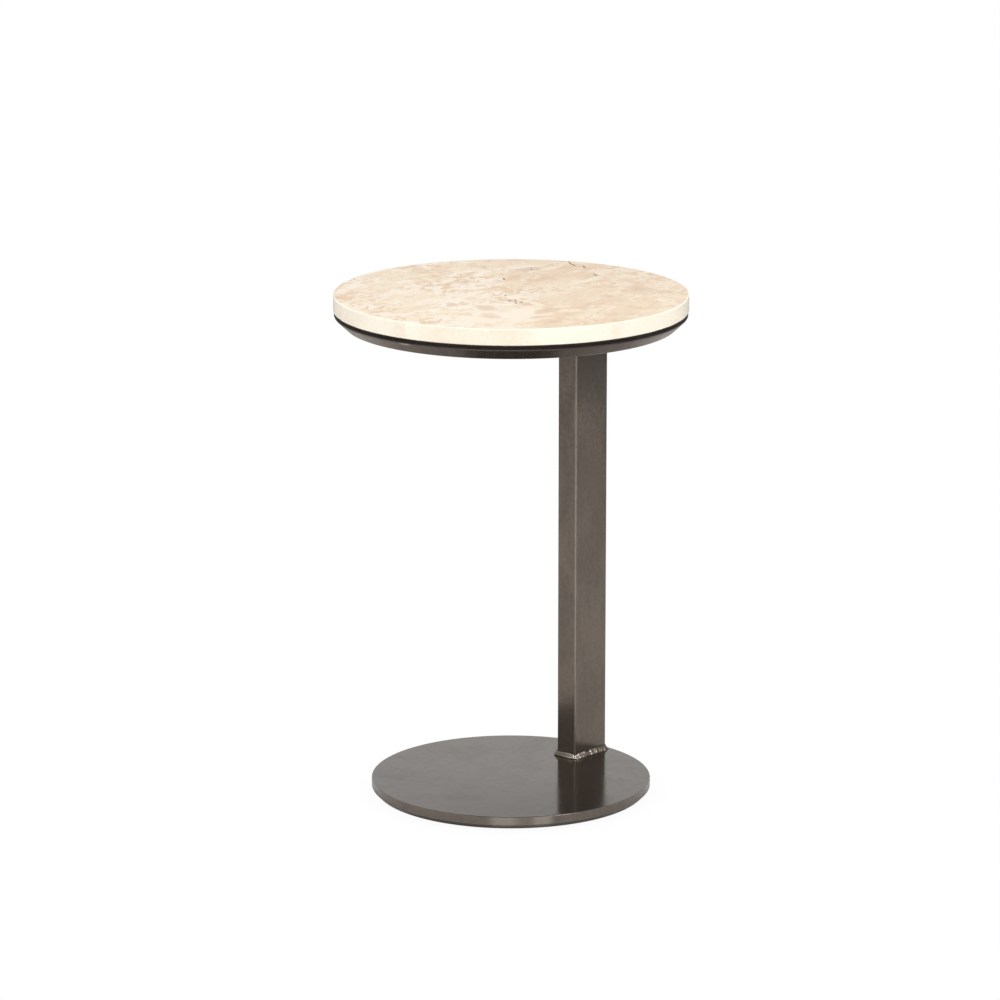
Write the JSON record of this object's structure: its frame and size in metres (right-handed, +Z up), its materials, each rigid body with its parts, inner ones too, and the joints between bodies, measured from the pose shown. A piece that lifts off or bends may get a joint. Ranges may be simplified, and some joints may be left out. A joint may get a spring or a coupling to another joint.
{
  "type": "laptop table",
  "caption": "Round stone-topped side table on an offset rectangular steel column, welded to a thick round steel base plate that slides under a seat.",
  "frame": {"origin": "on the floor, under the middle of the round base plate and of the round top", "axes": "+Z up, +Y from the middle towards the column, so that the open side faces -Y; X is across the column's narrow side"},
  "size_m": [0.4299, 0.43, 0.626],
  "materials": {
    "stone": "honed cream and tan veined stone, sealed",
    "silicone": "translucent grey silicone",
    "plywood": "raw birch plywood",
    "dark_metal": "patinated gunmetal brown steel under satin clear lacquer",
    "zinc_steel": "zinc plated",
    "black_steel": "black oxide",
    "weld_metal": "brushed weld metal under the same lacquer",
    "glide_rubber": "matt black rubber"
  },
  "bodies": {
    "root": {"stone_top": "stone", "bond_pads": "silicone", "support_board": "plywood", "top_pan": "dark_metal", "insert_nuts": "zinc_steel", "head_bolts": "black_steel", "head_washers": "black_steel", "head_plate": "dark_metal", "head_weld": "weld_metal", "column_tube": "dark_metal", "base_weld": "weld_metal", "base_plate": "dark_metal", "floor_glides": "glide_rubber"}
  },
  "joints": []
}
